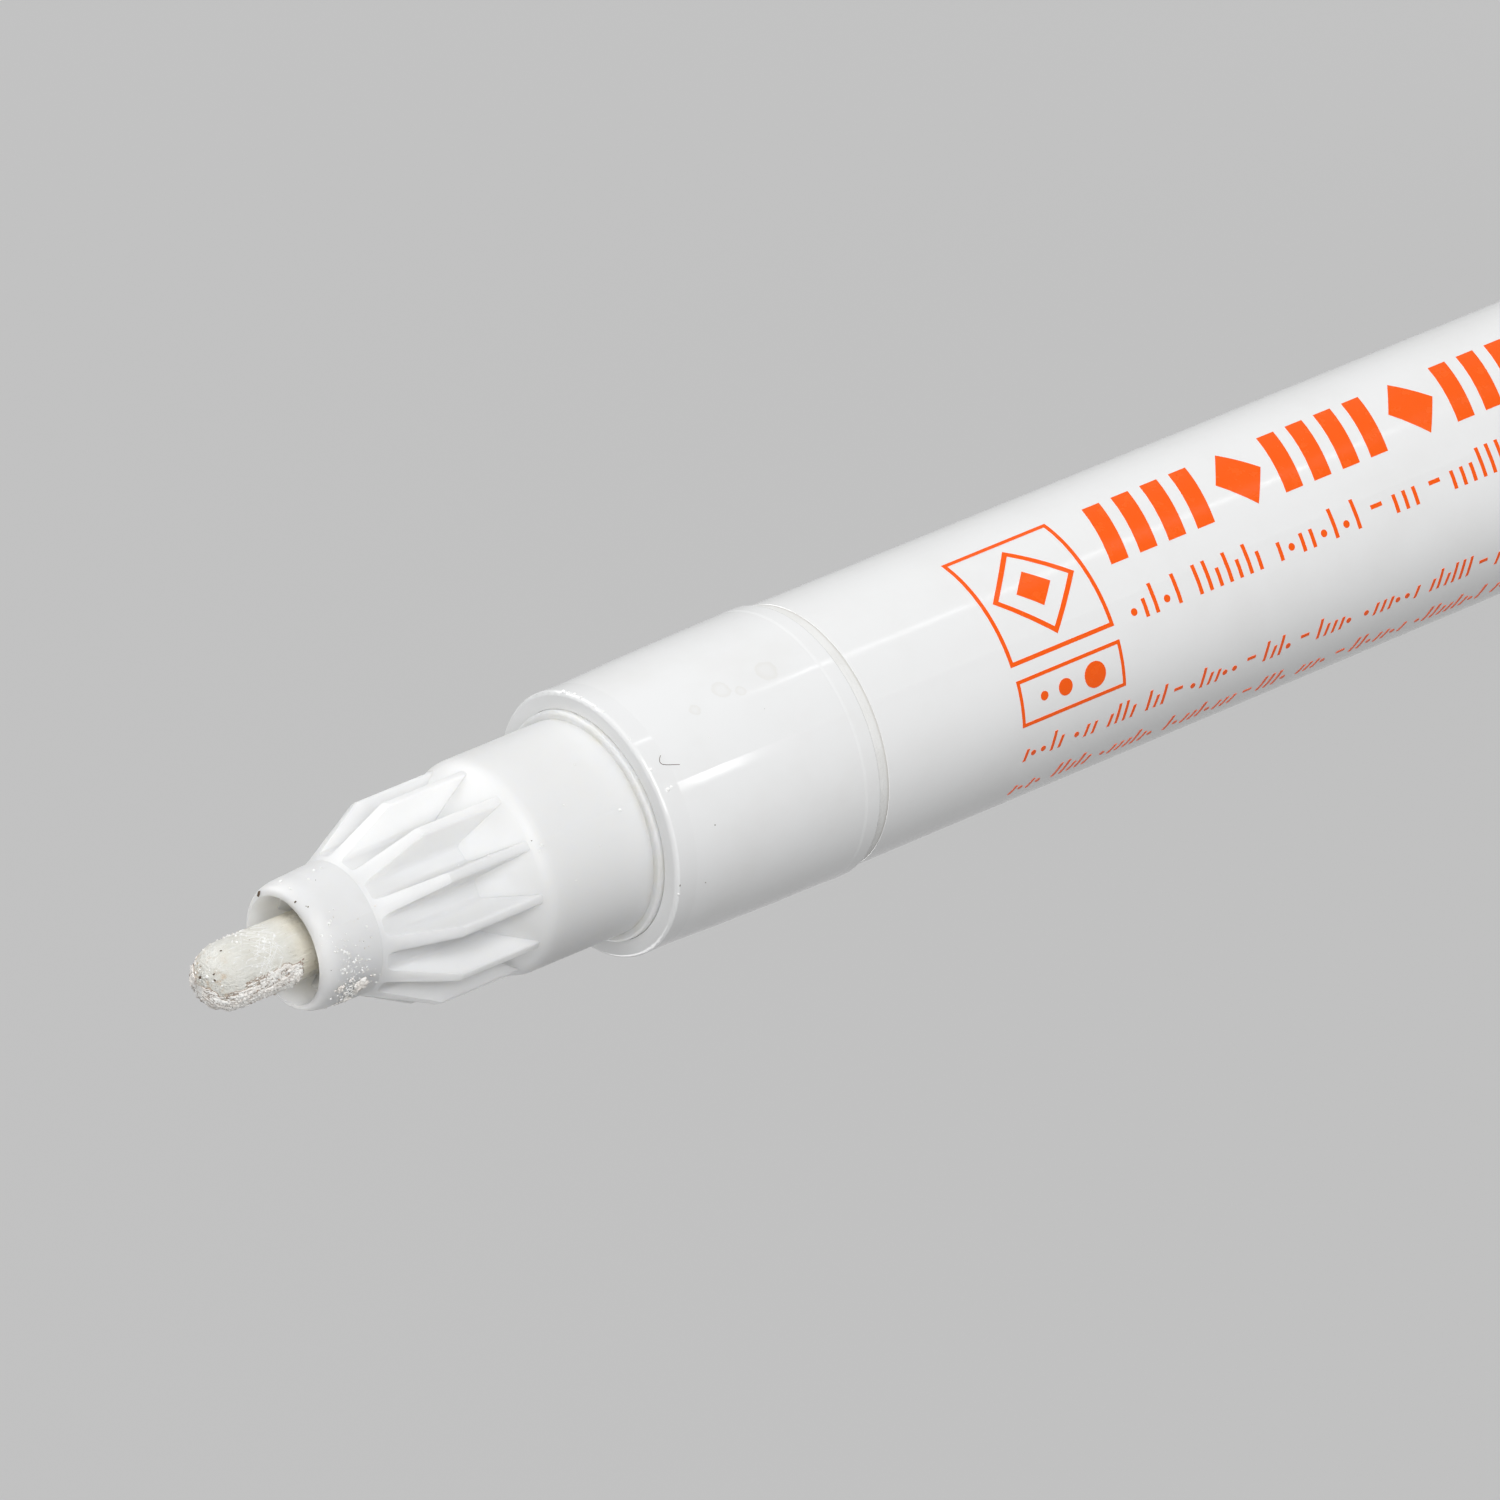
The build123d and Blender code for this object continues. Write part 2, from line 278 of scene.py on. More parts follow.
def printed_layer(name, shapes):
    """Flat shapes, in millimetres round and along the barrel, wrapped on it as a thin film of ink."""
    film = bmesh.new()
    for outline in shapes:
        film.faces.new([film.verts.new((across * mm, height * mm, 0)) for across, height in outline])
    low = min(vert.co.x for vert in film.verts)
    high = max(vert.co.x for vert in film.verts)
    for step in range(math.ceil(low / ink_step), math.ceil(high / ink_step)):
        everything = film.verts[:] + film.edges[:] + film.faces[:]
        cut_at = (step * ink_step, 0, 0)
        bmesh.ops.bisect_plane(film, geom=everything, plane_co=cut_at, plane_no=(1, 0, 0), dist=1e-8)
    bmesh.ops.remove_doubles(film, verts=film.verts[:], dist=1e-7)
    bmesh.ops.recalc_face_normals(film, faces=film.faces[:])
    for face in film.faces:
        if face.normal.z < 0:
            face.normal_flip()
    radius = barrel_r + ink_proud
    for vert in film.verts:
        turn = vert.co.x / barrel_r
        vert.co = (radius * math.cos(turn), radius * math.sin(turn), vert.co.y)
    film.normal_update()
    bmesh.ops.solidify(film, geom=film.faces[:], thickness=ink_proud + ink_sunk)
    return piece_from(name, film, smooth_to=35)


tall_share, dot_share, dash_share = 0.35, 0.20, 0.25       # of the ticks, and of the gaps


def tick_row(middle, start, end, height, line, pitch, lean, ticks):
    """A row of fine ticks in groups: tall ones, short ones, dots, and a dash between some groups."""
    shapes = []
    along = start
    while along > end + 12 * pitch:
        for _ in range(ticks.randint(3, 9)):
            form = ticks.random()
            low, high = middle - height / 2, middle + height * (0.5 if form < tall_share else 0.12)
            if form > 1 - dot_share:
                shapes.append(disc((low + high) / 2, along - line * 0.9, line * 0.9, 12))
                along -= line * 0.8
            else:
                shapes.append(bar(high, low, along - line, along, -lean))
            along -= pitch
        if ticks.random() < dash_share:
            along -= pitch * 0.7
            shapes.append(bar(middle - line / 2, middle + line / 2, along - pitch * 1.1, along))
            along -= pitch * 1.1
        along -= pitch * 1.1
    return shapes


# Places round the barrel from its front line, and heights, in millimetres.
print_end = 34.0
square_sign = outline_frame(-0.98, 5.02, 84.1, 90.2, 0.2)
square_sign += lozenge_frame(2.02, 87.15, 2.35, 2.4, 0.34)
square_sign += [lozenge(2.02, 87.15, 0.95, 1.0)]
size_sign = outline_frame(-3.87, -1.64, 84.05, 90.15, 0.17)
size_sign += [disc(-2.75, 88.75, 0.22, 20), disc(-2.75, 87.5, 0.40, 24), disc(-2.75, 85.75, 0.62, 28)]

bold_low, bold_high, bold_line, bold_pitch, bold_lean = 1.62, 4.95, 1.02, 1.72, -0.85
bars_together = 4
to_lozenge, past_lozenge = 1.95, 3.6        # from where the next bar would be
bold_band = []
along = 82.8
while along > print_end + 5 * bold_pitch:
    for _ in range(bars_together):
        bold_band.append(bar(bold_high, bold_low, along - bold_line, along, bold_lean))
        along -= bold_pitch
    bold_band.append(lozenge((bold_low + bold_high) / 2, along - to_lozenge, 1.65, 1.35))
    along -= past_lozenge

tick_random = random.Random(7)
fine_rows = tick_row(-0.50, 83.0, print_end, 1.40, 0.20, 0.60, 0.0, tick_random)
fine_rows += tick_row(-5.24, 90.0, print_end, 1.05, 0.16, 0.45, 0.18, tick_random)
fine_rows += tick_row(-7.62, 90.0, print_end, 1.05, 0.16, 0.45, 0.18, tick_random)

barrel_print = printed_layer("barrel_print", square_sign + size_sign + bold_band + fine_rows)

ink, tree, shader = new_material("print_orange")
place = object_place(tree)
thin = ramp_up(tree, grain(tree, place, 1400, 4), 0.50, 0.78)
pinholes = ramp_up(tree, grain(tree, place, 9000, 1), 0.76, 0.82)
worn = calculate(tree, "ADD", times(tree, thin, 0.12), times(tree, pinholes, 0.3))
tone = mix_colours(tree, worn, (0.96, 0.110, 0.001, 1), (0.96, 0.27, 0.07, 1))
tree.links.new(tone, shader.inputs["Base Color"])
tree.links.new(calculate(tree, "MULTIPLY_ADD", thin, 0.12, 0.24), shader.inputs["Roughness"])
shader.inputs["Specular IOR Level"].default_value = 0.3
barrel_print.data.materials.append(ink)
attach(barrel_print, "pen_body")


# ---- Nib holder ---------------------------------------------------------------------------------
# One white moulding of satin polypropylene: spigot, neck, twelve drafted fins and the nozzle with
# its six inner ribs, pushed into the barrel. Its mouth is painted much lighter than the plastic,
# more so deeper in, as painted light, with the pale yellow tint of dried ink.

mouth_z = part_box("nib_holder")[1].z
mouth_inner_r = 2.54 * mm
holder, tree, shader, colour = moulded_plastic(
    "holder_white", (0.795, 0.799, 0.799), (0.62, 0.58, 0.52), 0.07, 0.46, 0.06, 0.015 * mm
)
place = object_place(tree)
apart = add_node(tree, "ShaderNodeSeparateXYZ", Vector=place).outputs
from_axis = calculate(tree, "SQRT", calculate(
    tree, "ADD", times(tree, apart["X"], apart["X"]), times(tree, apart["Y"], apart["Y"])
))
# Painted light: inside the mouth the colour goes over to a near-white pale yellow, lighter than the
# plastic and more so deeper in, with only a faint tint of dried ink.
inside = ramp_up(tree, from_axis, mouth_inner_r, mouth_inner_r - 0.2 * mm)
deep = ramp_up(tree, apart["Z"], mouth_z - 0.2 * mm, mouth_z - 2.2 * mm)
runs = ramp_up(tree, grain(tree, stretched(tree, place, 0.3), 900, 3), 0.3, 0.7)
faint_runs = calculate(tree, "MULTIPLY_ADD", runs, 0.1, 0.5)
mouth_light_and_tint = times(tree, inside, calculate(tree, "MULTIPLY_ADD", deep, 0.35, faint_runs))
stained = mix_colours(tree, mouth_light_and_tint, colour, (0.965, 0.95, 0.895, 1))
collar_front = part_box("front_collar")[1].z
ahead_of_joint = ramp_up(tree, apart["Z"], collar_front + 0.7 * mm, collar_front + 0.2 * mm)
behind_joint = ramp_up(tree, apart["Z"], collar_front - 0.6 * mm, collar_front - 0.1 * mm)
patches = ramp_up(tree, grain(tree, place, 700, 3), 0.42, 0.62)
patchy = calculate(tree, "MULTIPLY_ADD", patches, 0.45, 0.15)
grime = times(tree, times(tree, ahead_of_joint, behind_joint), patchy)
grimy = mix_colours(tree, grime, stained, (0.78, 0.765, 0.69, 1))
tree.links.new(grimy, shader.inputs["Base Color"])
shader.inputs["Subsurface Weight"].default_value = 1.0
shader.inputs["Subsurface Radius"].default_value = (1.0, 0.97, 0.9)
shader.inputs["Subsurface Scale"].default_value = 1.6 * mm
finish_node("nib_holder", holder)


# ---- Chalk and dirt on the nozzle ---------------------------------------------------------------
# Ink that splashed on the nozzle and dried to crumbs, white dust, single white grains that are
# partly chalk and partly painted glints, and dark specks of dust that stuck while it was wet. All
# of it sits on the holder and moves with it.

def dried_chalk_material():
    """Dry chalk: white grains with beige and pinkish ones between them, dull and rough. A high shade
    value turns it dark brown: random darker crumbs, and painted shade in the crust's pits and cracks.
    """
    material, tree, shader = new_material("dried_chalk")
    place = object_place(tree)
    shade = add_node(tree, "ShaderNodeAttribute", {"attribute_name": "shade"}).outputs["Fac"]
    tint = ramp_up(tree, grain(tree, place, 1500, 3), 0.40, 0.65)
    pale = mix_colours(tree, tint, (0.88, 0.87, 0.845, 1), (0.82, 0.785, 0.745, 1))
    # Dark brown where shade is high: random tone on loose crumbs, painted shade in the crust's pits and
    # cracks.
    tone = mix_colours(tree, ramp_up(tree, shade, 0.45, 0.95), pale, (0.36, 0.285, 0.23, 1))
    tree.links.new(tone, shader.inputs["Base Color"])
    shader.inputs["Roughness"].default_value = 0.8
    rough = add_node(tree, "ShaderNodeBump", Height=grain(tree, place, 30000, 2), Distance=0.01 * mm)
    tree.links.new(rough.outputs[0], shader.inputs["Normal"])
    return material


def white_chalk_and_glints_material():
    """Clean chalk from inside the ink, whiter than the plastic it sticks to. On the white grains it
    also serves as painted glints.
    """
    material, tree, shader = new_material("white_chalk_and_glints")
    grains = grain(tree, object_place(tree), 20000, 2)
    tone = mix_colours(tree, grains, (0.99, 0.99, 0.98, 1), (0.94, 0.94, 0.93, 1))
    tree.links.new(tone, shader.inputs["Base Color"])
    shader.inputs["Roughness"].default_value = 0.35
    return material


def dirt_material():
    """Brown-black dust, duller and paler where it is thin."""
    material, tree, shader = new_material("dark_dirt")
    patches = grain(tree, object_place(tree), 9000, 2)
    tone = mix_colours(tree, patches, (0.035, 0.025, 0.02, 1), (0.16, 0.10, 0.06, 1))
    tree.links.new(tone, shader.inputs["Base Color"])
    shader.inputs["Roughness"].default_value = 0.85
    return material


dried_chalk = dried_chalk_material()
white_chalk_and_glints = white_chalk_and_glints_material()
dark_dirt = dirt_material()


def direction(azimuth, elevation=0):
    """The way from the marker's axis to a place round it, both angles in degrees."""
    turn, rise = math.radians(azimuth), math.radians(elevation)
    return Vector((math.cos(turn) * math.cos(rise), math.sin(turn) * math.cos(rise), math.sin(rise)))


well_outside = 30 * mm      # from the axis


def surface_point(node, azimuth, height):
    """Where a level line towards the axis first meets a CAD piece, and the way the surface faces."""
    out = direction(azimuth)
    hit, point, normal, _ = nodes[node].ray_cast(out * well_outside + Vector((0, 0, height)), -out)
    return (point, normal) if hit else None


def on_surface(node, places):
    """Crumbs of (point, normal, size) from places of (azimuth, height, size) in millimetres."""
    return [(*surface_point(node, a, z * mm), size * mm) for a, z, size in places]


def crumb_mesh(name, crumbs, shape_random, flatness=0.6, rings=1, darkest=1.0):
    """Angular crumbs of (point, normal, size), each pressed a little into what it lies on."""
    made = bmesh.new()
    shade = made.verts.layers.float.new("shade")
    for point, normal, size in crumbs:
        tone = shape_random.random() * darkest
        turned = normal.to_track_quat("Z", "Y").to_matrix().to_4x4()
        spin = Matrix.Rotation(shape_random.uniform(0, math.tau), 4, "Z")
        long_way, short_way = shape_random.uniform(0.7, 1.4), shape_random.uniform(0.7, 1.1)
        stretch = Matrix.Diagonal((long_way, short_way, flatness, 1))
        middle = point + normal * size * flatness * 0.3
        placed = Matrix.Translation(middle) @ turned @ spin @ stretch
        ball = bmesh.ops.create_icosphere(made, subdivisions=rings, radius=size, matrix=placed)
        for vert in ball["verts"]:
            vert.co = middle + (vert.co - middle) * shape_random.uniform(0.65, 1.2)
            vert[shade] = tone
    return piece_from(name, made)


def scattered(node, middle_azimuth, middle_height, spread_azimuth, spread_height, count, size, placing):
    """Crumbs in a cloud round one azimuth and height of a CAD piece."""
    crumbs = []
    for _ in range(count):
        azimuth = placing.gauss(middle_azimuth, spread_azimuth)
        height = placing.gauss(middle_height * mm, spread_height * mm)
        found = surface_point(node, azimuth, min(height, mouth_z - 0.05 * mm))
        if found:
            crumbs.append((*found, size * mm * placing.uniform(0.45, 1.25) ** 2))
    return crumbs


def chalk_and_glint_grains(name, node, places, body):
    """Grains of clean white chalk, each (azimuth, height, size), stuck to a CAD piece. They also sit
    where the surface sparkles, as painted glints.
    """
    piece = crumb_mesh(name, on_surface(node, places), random.Random(8), 0.7, 2)
    piece.data.materials.append(white_chalk_and_glints)
    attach(piece, body)


chalk_random = random.Random(21)
nozzle_crumbs = []
for cloud in (
    # azimuth, height, their spreads, how many, size: clump by the fins, its tail, dust round the nozzle
    (-63, 125.20, 3.6, 0.13, 34, 0.120),
    (-58, 126.40, 2.0, 0.09, 14, 0.085),
    (-79, 125.66, 3.0, 0.10, 16, 0.080),
    (-65, 125.60, 8.0, 0.45, 90, 0.045),
    (-90, 125.60, 8.0, 0.40, 40, 0.050),
    (-40, 125.60, 9.0, 0.40, 16, 0.045),
    (-10, 125.60, 26, 0.80, 16, 0.035),
    (150, 125.40, 50, 0.90, 24, 0.045),
):
    nozzle_crumbs += scattered("nib_holder", *cloud, chalk_random)
nozzle_crumbs += on_surface("nib_holder", (
    # azimuth, height, size of the largest lumps
    (-65, 125.3, 0.21), (-62.5, 125.18, 0.20), (-60, 125.02, 0.17),
    (-57.5, 126.42, 0.13), (-79, 125.68, 0.13),
))
chalk_on_nozzle = crumb_mesh("chalk_on_nozzle", nozzle_crumbs, chalk_random, 0.7, 2, 0.62)
chalk_on_nozzle.data.materials.append(dried_chalk)
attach(chalk_on_nozzle, "pen_body")

speck_random = random.Random(5)
holder_specks = on_surface("nib_holder", (
    # azimuth, height, size of the dark specks on the nozzle, the neck and the fins
    (37, 127.09, 0.045), (25.5, 126.85, 0.04), (27, 126.9, 0.03), (-20, 125.1, 0.02), (1.5, 116.35, 0.03),
    (47, 125.6, 0.02), (-35, 126.9, 0.02), (140, 126.2, 0.05), (-150, 125.5, 0.04), (92, 127.19, 0.12),
))
dirt_on_holder = crumb_mesh("dirt_on_holder", holder_specks, speck_random, 0.5, 2)
dirt_on_holder.data.materials.append(dark_dirt)
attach(dirt_on_holder, "pen_body")

# Partly chalk and partly painted glints: white grains where the nozzle, fins and neck sparkle.
chalk_and_glint_grains("chalk_and_glint_grains_on_holder", "nib_holder", (
    # azimuth, height, size
    (60.5, 125.13, 0.07), (-22.5, 126.17, 0.10), (-24, 126.05, 0.08), (-25.5, 125.95, 0.06),
    (-9.6, 124.76, 0.06), (-2.5, 126.95, 0.06), (-20, 126.30, 0.06), (-6, 126.60, 0.05), (4, 126.45, 0.07),
    (6, 126.3, 0.05), (-38, 126.25, 0.09), (-41, 126.35, 0.07), (-52, 125.9, 0.08), (-45, 125.3, 0.06),
    (52, 126.8, 0.06), (70, 126.6, 0.06), (-12, 126.1, 0.04), (14, 125.9, 0.04), (-30, 125.5, 0.05),
    (-34, 125.8, 0.05), (-1.2, 111.57, 0.07), (-2.6, 116.05, 0.08), (-5, 116.2, 0.05), (12, 114.1, 0.04),
    (-14, 113.2, 0.04), (30, 112.4, 0.04), (-26, 114.8, 0.04), (3, 118.6, 0.05), (7, 119.3, 0.04),
    (150, 113.5, 0.05), (-160, 112.2, 0.05),
), "pen_body")

dust_random = random.Random(52)
white_dust = []
for cloud in (
    # azimuth, height, their spreads, how many, size
    (-38, 125.75, 9, 0.40, 60, 0.045),
    (-58, 125.90, 9, 0.35, 50, 0.050),
    (-15, 126.20, 12, 0.35, 24, 0.040),
    (160, 125.60, 60, 0.60, 30, 0.045),
):
    white_dust += scattered("nib_holder", *cloud, dust_random)
white_dust_on_nozzle = crumb_mesh("white_dust_on_nozzle", white_dust, dust_random, 0.6, 1)
white_dust_on_nozzle.data.materials.append(white_chalk_and_glints)
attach(white_dust_on_nozzle, "pen_body")


# ---- Front collar -------------------------------------------------------------------------------
# Polished white sleeve of the same plastic as the barrel, pushed over the holder's stem against its
# flange. It is glossier and a shade brighter than the holder, and drops of ink have dried on it.

collar_finish, tree, shader, colour = moulded_plastic(
    "collar_white", (0.838, 0.843, 0.845), (0.58, 0.55, 0.50), 0.10, 0.10, 0.05, 0.010 * mm
)
place = object_place(tree)
ragged = grain(tree, place, 2600, 3)
collar_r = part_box("front_collar")[1].x
marks = 0.0
for azimuth, height, reach in ((29, 101.9, 0.60), (25, 103.7, 0.30), (29, 104.5, 0.50), (25, 106.3, 0.34)):
    # a dried drop: a tan ring with a paler middle
    spot = collar_r * direction(azimuth) + Vector((0, 0, height * mm))
    gap = add_node(tree, "ShaderNodeVectorMath", {"operation": "DISTANCE"})
    feed(tree, gap.inputs[0], place)
    gap.inputs[1].default_value = spot
    gap = calculate(tree, "MULTIPLY_ADD", ragged, -0.5 * reach * mm, gap.outputs["Value"])
    inside_mark = ramp_up(tree, gap, 0.75 * reach * mm, 0.55 * reach * mm)
    rim_of_mark = times(tree, inside_mark, ramp_up(tree, gap, 0.1 * reach * mm, 0.6 * reach * mm))
    drop = calculate(tree, "MULTIPLY_ADD", rim_of_mark, 0.7, times(tree, inside_mark, 0.3))
    marks = calculate(tree, "MAXIMUM", drop, marks)
marked = mix_colours(tree, times(tree, marks, 0.17), colour, (0.62, 0.58, 0.50, 1))
tree.links.new(marked, shader.inputs["Base Color"])
finish_node("front_collar", collar_finish)


# ---- Dirt on the collar -------------------------------------------------------------------------
# Dark specks of dust, white grains along the collar's front edge that are chalk and painted glints,
# and a short brown hair.
# All of it is stuck to the collar by a little dried ink.

collar_specks = on_surface("front_collar", (
    # azimuth, height, size
    (-22, 107.8, 0.035), (-42, 110.0, 0.04), (-46, 108.5, 0.03), (14, 103.2, 0.02),
))
dirt_on_collar = crumb_mesh("dirt_on_collar", collar_specks, speck_random, 0.5, 2)
dirt_on_collar.data.materials.append(dark_dirt)
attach(dirt_on_collar, "pen_body")

# Partly chalk and partly painted glints: white grains where the collar's edge sparkles.
chalk_and_glint_grains("chalk_and_glint_grains_on_collar", "front_collar", (
    # azimuth, height, size
    (67.6, 110.07, 0.08), (64, 110.06, 0.06), (60.4, 110.04, 0.09), (56, 110.07, 0.06), (47, 110.08, 0.07),
    (42, 110.05, 0.05), (24.4, 110.04, 0.06), (9, 109.98, 0.08), (-1.2, 109.63, 0.10), (-0.6, 109.4, 0.06),
    (12, 106.5, 0.04), (-46, 110.05, 0.06), (130, 109.9, 0.06), (-150, 109.8, 0.05),
), "pen_body")

hair = bpy.data.curves.new("hair_on_collar", "CURVE")
hair.dimensions = "3D"
hair.bevel_depth = 0.013 * mm
hair.bevel_resolution = 1
strand = hair.splines.new("NURBS")
hair_bend = ((12.9, 109.15), (11.6, 109.34), (9.9, 109.40), (8.6, 109.22), (7.7, 108.90), (6.4, 108.50))
hair_lift = 0.010 * mm
strand.points.add(len(hair_bend) - 1)
for point, (azimuth, height) in zip(strand.points, hair_bend):
    here, normal = surface_point("front_collar", azimuth, height * mm)
    point.co = (*(here + hair_lift * normal), 1)
strand.use_endpoint_u = True
hair_on_collar = new_piece("hair_on_collar", hair)
hair_on_collar.data.materials.append(dark_dirt)
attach(hair_on_collar, "pen_body")


# ---- Chalk in the joint -------------------------------------------------------------------------
# Chalk and dust that handling and wiping have packed into the narrow joint between collar and
# barrel, almost flush with the barrel. Its colour is darker along both edges as painted shade of
# the seams.

def turned_ring(name, outline, steps=288):
    """A ring turned round the marker's axis from a closed outline of (radius, height)."""
    made = bmesh.new()
    rounds = []
    for step in range(steps):
        turn = math.tau * step / steps
        rounds.append([made.verts.new((r * math.cos(turn), r * math.sin(turn), z)) for r, z in outline])
    for here, ahead in zip(rounds, rounds[1:] + rounds[:1]):
        for corner in range(len(outline)):
            following = (corner + 1) % len(outline)
            made.faces.new((here[corner], ahead[corner], ahead[following], here[following]))
    bmesh.ops.recalc_face_normals(made, faces=made.faces)
    return piece_from(name, made, smooth_to=50)


joint_low, joint_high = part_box("barrel")[1].z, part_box("front_collar")[0].z
joint_inner_r = 6.03 * mm
chalk_r = 6.238 * mm
chalk_in_joint = turned_ring("chalk_in_joint", (
    (joint_inner_r, joint_low - 0.02 * mm), (chalk_r - 0.023 * mm, joint_low - 0.04 * mm),
    (chalk_r - 0.002 * mm, joint_low - 0.01 * mm), (chalk_r, joint_low + 0.10 * mm),
    (chalk_r, joint_high - 0.12 * mm), (chalk_r - 0.008 * mm, joint_high - 0.05 * mm),
    (chalk_r - 0.038 * mm, joint_high - 0.015 * mm), (joint_inner_r, joint_high - 0.015 * mm),
))
joint_chalk, tree, shader = new_material("joint_chalk")
place = object_place(tree)
height = add_node(tree, "ShaderNodeSeparateXYZ", Vector=place).outputs["Z"]
clouds = ramp_up(tree, grain(tree, place, 800, 4), 0.35, 0.65)
pale = mix_colours(tree, clouds, (0.808, 0.808, 0.797, 1), (0.770, 0.768, 0.752, 1))
joint_middle = (joint_low + joint_high) / 2
from_middle = calculate(tree, "ABSOLUTE", calculate(tree, "SUBTRACT", height, joint_middle))
# Painted shade: the colour darkens along both edges, where the seams of the joint are.
edges = ramp_up(tree, from_middle, 0.18 * mm, 0.26 * mm)
tone = mix_colours(tree, times(tree, edges, 0.6), pale, (0.66, 0.64, 0.60, 1))
tree.links.new(tone, shader.inputs["Base Color"])
shader.inputs["Roughness"].default_value = 0.6
rough = add_node(tree, "ShaderNodeBump", Height=grain(tree, place, 9000, 3), Distance=0.02 * mm)
tree.links.new(rough.outputs[0], shader.inputs["Normal"])
chalk_in_joint.data.materials.append(joint_chalk)
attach(chalk_in_joint, "pen_body")


# ---- Nib ----------------------------------------------------------------------------------------
# Pressed acrylic fibre rod, ground to a bullet end and soaked in white chalk ink. The fibres run
# along it, it is yellowish where it leaves the nozzle, and tan stains sit round its tip.

tip_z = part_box("nib")[1].z
nib_finish, tree, shader = new_material("nib_fibre")
place = object_place(tree)
height = add_node(tree, "ShaderNodeSeparateXYZ", Vector=place).outputs["Z"]
fibres = grain(tree, stretched(tree, place, 0.12), 9000, 3)
clouds = ramp_up(tree, grain(tree, place, 1300, 4), 0.35, 0.70)
ivory = mix_colours(tree, clouds, (0.83, 0.825, 0.775, 1), (0.765, 0.75, 0.685, 1))
streaked = mix_colours(tree, ramp_up(tree, fibres, 0.58, 0.70), ivory, (0.89, 0.89, 0.87, 1))
near_mouth = ramp_up(tree, height, mouth_z + 1.1 * mm, mouth_z - 0.6 * mm)
runs = ramp_up(tree, grain(tree, stretched(tree, place, 0.4), 1500, 4), 0.3, 0.7)
wet = times(tree, near_mouth, calculate(tree, "MULTIPLY_ADD", runs, 0.5, 0.5))
yellowed = mix_colours(tree, wet, streaked, (0.77, 0.715, 0.585, 1))
near_tip = ramp_up(tree, height, tip_z - 1.3 * mm, tip_z - 0.3 * mm)
blots = ramp_up(tree, grain(tree, place, 2600, 4), 0.52, 0.70)
tan = times(tree, times(tree, near_tip, blots), 0.7)
stained = mix_colours(tree, tan, yellowed, (0.62, 0.44, 0.27, 1))
tree.links.new(stained, shader.inputs["Base Color"])
shader.inputs["Roughness"].default_value = 0.36
wrinkles = grain(tree, stretched(tree, place, 0.45), 3000, 6, 0.72)
relief = calculate(tree, "ADD", times(tree, fibres, 0.5), times(tree, wrinkles, 1.3))
bump = add_node(tree, "ShaderNodeBump", Height=relief, Distance=0.12 * mm)
tree.links.new(bump.outputs[0], shader.inputs["Normal"])
finish_node("nib", nib_finish)


# ---- Dried chalk on the nib ---------------------------------------------------------------------
# Chalk that dried in lumps along one side of the nib and round its tip: a cracked crust with loose
# crumbs on it. It moves with the nib and stays clear of the nozzle when the nib is pressed.

nib_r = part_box("nib")[1].x
bullet = 1.7 * mm
bullet_z = tip_z - bullet


def nib_surface(azimuth, along):
    """Point and outward direction on the bare nib. along is 0 to 1 over the bullet and, on the rod
    behind it, minus the distance in millimetres."""
    turn = math.radians(azimuth)
    if along <= 0:
        radius, level = nib_r, bullet_z + along * mm
        out, up = 1.0, 0.0
    else:
        rise = along * math.pi / 2
        radius, level = nib_r * math.cos(rise), bullet_z + bullet * math.sin(rise)
        out, up = math.cos(rise) / nib_r, math.sin(rise) / bullet
    normal = Vector((out * math.cos(turn), out * math.sin(turn), up)).normalized()
    return Vector((radius * math.cos(turn), radius * math.sin(turn), level)), normal


def smooth_step(low, high, value):
    """0 below low, 1 above high and smooth in between."""
    share = max(0.0, min(1.0, (value - low) / (high - low)))
    return share * share * (3 - 2 * share)


crust_middle = -95      # azimuth of the crusted side
clean_side = 30         # azimuth of the side where even the tip is nearly clean
crust_rear = -3.15      # where the crust ends, in millimetres behind the bullet
crust_top = 0.97        # how far up the bullet it goes
rod_share = 0.72        # of the crust's rows, those that lie on the rod


def away_from(azimuth, middle):
    """Degrees between two azimuths, whichever way round is shorter."""
    return abs((azimuth - middle + 180) % 360 - 180)


def crust_cover(azimuth, along, point):
    """How thickly the nib is crusted at a place: 1 on the crusted side, 0 where it is clean."""
    ragged = noise.noise(point * 1500) * 11 + noise.noise(point * 4500) * 6
    half_width = 68 - 4 * smooth_step(-1.3, 0, along) - 22 * smooth_step(0, 0.6, along)
    side = 1 - smooth_step(half_width - 9, half_width + 8, away_from(azimuth, crust_middle) + ragged)
    rear = smooth_step(crust_rear, crust_rear + 0.4, along + noise.noise(point * 1900) * 0.15)
    cap_from = 0.90 - 0.42 * smooth_step(30, 100, away_from(azimuth, clean_side))
    soft_rise = 0.07 + 0.25 * smooth_step(60, 120, away_from(azimuth, clean_side))
    cap = smooth_step(cap_from - soft_rise, cap_from + 0.09, along + noise.noise(point * 2100) * 0.12)
    return max(side * rear, 0.8 * cap)


def crust_height(point, azimuth, along, cover):
    """Height of the crust over the nib, with ridges and grains, and how dark a place is painted as shade
    in the cracks between grains and folds.
    """
    near, second = noise.voronoi(point * 6500)[0][:2]
    fine_near, fine_second = noise.voronoi(point * 19000)[0][:2]
    round_it = math.radians(azimuth) * 1.5
    folds = abs(noise.noise(Vector((round_it / 0.17, along / 0.8, 3.1))))
    ridge = 1 - 2.4 * folds + 0.5 * noise.noise(point * 3000)
    lumps = noise.fractal(point * 2400, 0.8, 2.1, 4)
    grains = min(1.0, second - near) * 0.085 + min(1.0, fine_second - fine_near) * 0.035
    lift = (-0.05 + cover * (0.060 + grains + 0.060 * max(-1.0, ridge) + 0.055 * max(-0.8, lumps))) * mm
    crack_shade = 0.6 * (1 - smooth_step(0.02, 0.16, second - near)) + 1 - smooth_step(-1.2, -0.35, ridge)
    return lift, min(1.0, crack_shade)


